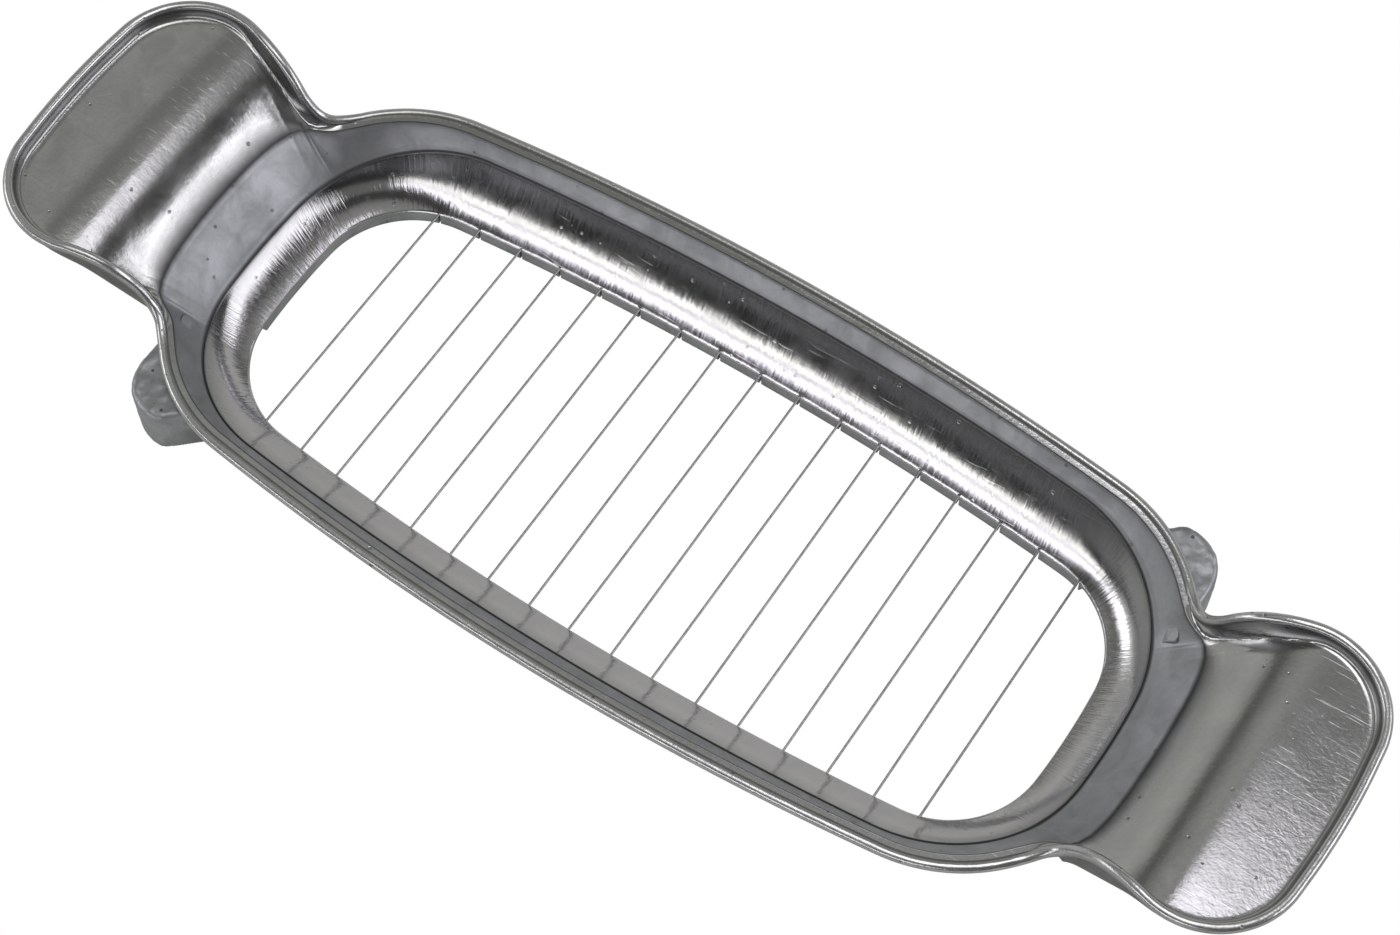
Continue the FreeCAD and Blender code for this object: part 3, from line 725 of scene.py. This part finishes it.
# The lights: soft boxes at the front, the right, the left and overhead. The two front strips leave a gap,
# which the polished metal reflects as a dark line between two bright ones.
def soft_box(name, azimuth, height, size, glow, colour, distance=1.0, aside=0.0):
    """Rectangular studio light that faces the object. Azimuth and height are in degrees."""
    wide, tall = size
    turn, rise = math.radians(azimuth), math.radians(height)
    place = Vector((math.cos(turn) * math.cos(rise), math.sin(turn) * math.cos(rise), math.sin(rise)))
    bpy.ops.object.light_add(type="AREA", location=place * distance + Vector((aside, 0, 0)))
    light = bpy.context.object
    light.name = name
    light.data.shape = "RECTANGLE"
    light.data.size = wide
    light.data.size_y = tall
    light.data.energy = glow * math.pi * wide * tall
    light.data.color = colour
    light.visible_camera = False
    light.rotation_euler = place.to_track_quat("Z", "Y").to_euler()


soft_box("front_strip_high", 262, 28.5, (1.3, 0.13), 1.9, (1.0, 0.97, 1.05))
soft_box("front_strip_low", 262, 19.5, (1.3, 0.11), 1.7, (1.0, 1.01, 0.94))
soft_box("right_strip", 26, 28, (0.9, 0.42), 2.0, (1.0, 0.99, 1.02))
soft_box("left_strip", 200, 22, (0.6, 0.25), 1.9, (1.0, 0.99, 1.0))
soft_box("overhead", 90, 82.3, (0.14, 0.165), 1.6, (1.0, 0.97, 1.04), distance=0.373, aside=0.04)

# The room: a grey studio with bands of light and dark in it, from straight down at 0 to straight up at 1.
# The back half, towards +Y and -X, has other bands than the front half. The camera sees only white.
FRONT_LEVELS = [(0.0, 0.20), (0.495, 0.20), (0.505, 0.015), (0.62, 0.02), (0.66, 0.20), (0.77, 0.16),
                (0.80, 0.05), (0.87, 0.05), (0.90, 0.24), (0.975, 0.30), (0.985, 1.3), (1.0, 1.5)]
BACK_LEVELS = [(0.0, 0.22), (0.495, 0.26), (0.505, 0.38), (0.60, 0.50), (0.66, 0.44), (0.70, 0.38),
               (0.74, 0.12), (0.78, 0.12), (0.82, 0.26), (0.885, 0.38), (0.915, 0.38), (0.935, 0.20),
               (0.975, 0.20),
               (0.985, 1.3), (1.0, 1.5)]


def olive(levels):
    """Levels given the slightly green cast of the room."""
    return [(position, (value, value * 1.01, value * 0.94)) for position, value in levels]


world = bpy.data.worlds.new("studio")
bpy.context.scene.world = world
world.use_nodes = True
tree = world.node_tree
tree.nodes.clear()
way = put(tree, "ShaderNodeTexCoord").outputs["Generated"]
split = put(tree, "ShaderNodeSeparateXYZ", {0: way})
shift = put(tree, "ShaderNodeMath", {0: split.outputs["Z"], 1: 0.5, 2: 0.5}, operation="MULTIPLY_ADD")
sideways = put(tree, "ShaderNodeMath", {0: split.outputs["Y"], 1: split.outputs["X"]}, operation="SUBTRACT")
behind = put(tree, "ShaderNodeMapRange", {"Value": sideways.outputs[0], "From Min": 0.0, "From Max": 0.35})
walls = put(tree, "ShaderNodeMix", {0: behind.outputs[0]}, data_type="RGBA")
tree.links.new(ramp(tree, shift.outputs[0], olive(FRONT_LEVELS)), walls.inputs[6])
tree.links.new(ramp(tree, shift.outputs[0], olive(BACK_LEVELS)), walls.inputs[7])
room = put(tree, "ShaderNodeBackground", {"Color": walls.outputs[2]})
white = put(tree, "ShaderNodeBackground", {"Color": (1, 1, 1, 1)})
path = put(tree, "ShaderNodeLightPath")
mix = put(tree, "ShaderNodeMixShader", {0: path.outputs["Is Camera Ray"], 1: room.outputs[0],
                                        2: white.outputs[0]})
put(tree, "ShaderNodeOutputWorld", {"Surface": mix.outputs[0]})

# The camera looks down over one long side, a little from the right, through a long lens.
bpy.ops.object.camera_add()
camera = bpy.context.object
camera.data.lens = 76.65
camera.data.sensor_width = 36.0
camera.data.clip_start = 0.01
camera.matrix_world = Matrix(((0.8344, -0.4864, 0.2591, 0.10827), (0.5511, 0.7377, -0.3899, -0.15457),
                              (-0.0015, 0.4681, 0.8837, 0.36795), (0, 0, 0, 1)))
bpy.context.scene.camera = camera
bpy.context.scene.view_settings.view_transform = "Standard"
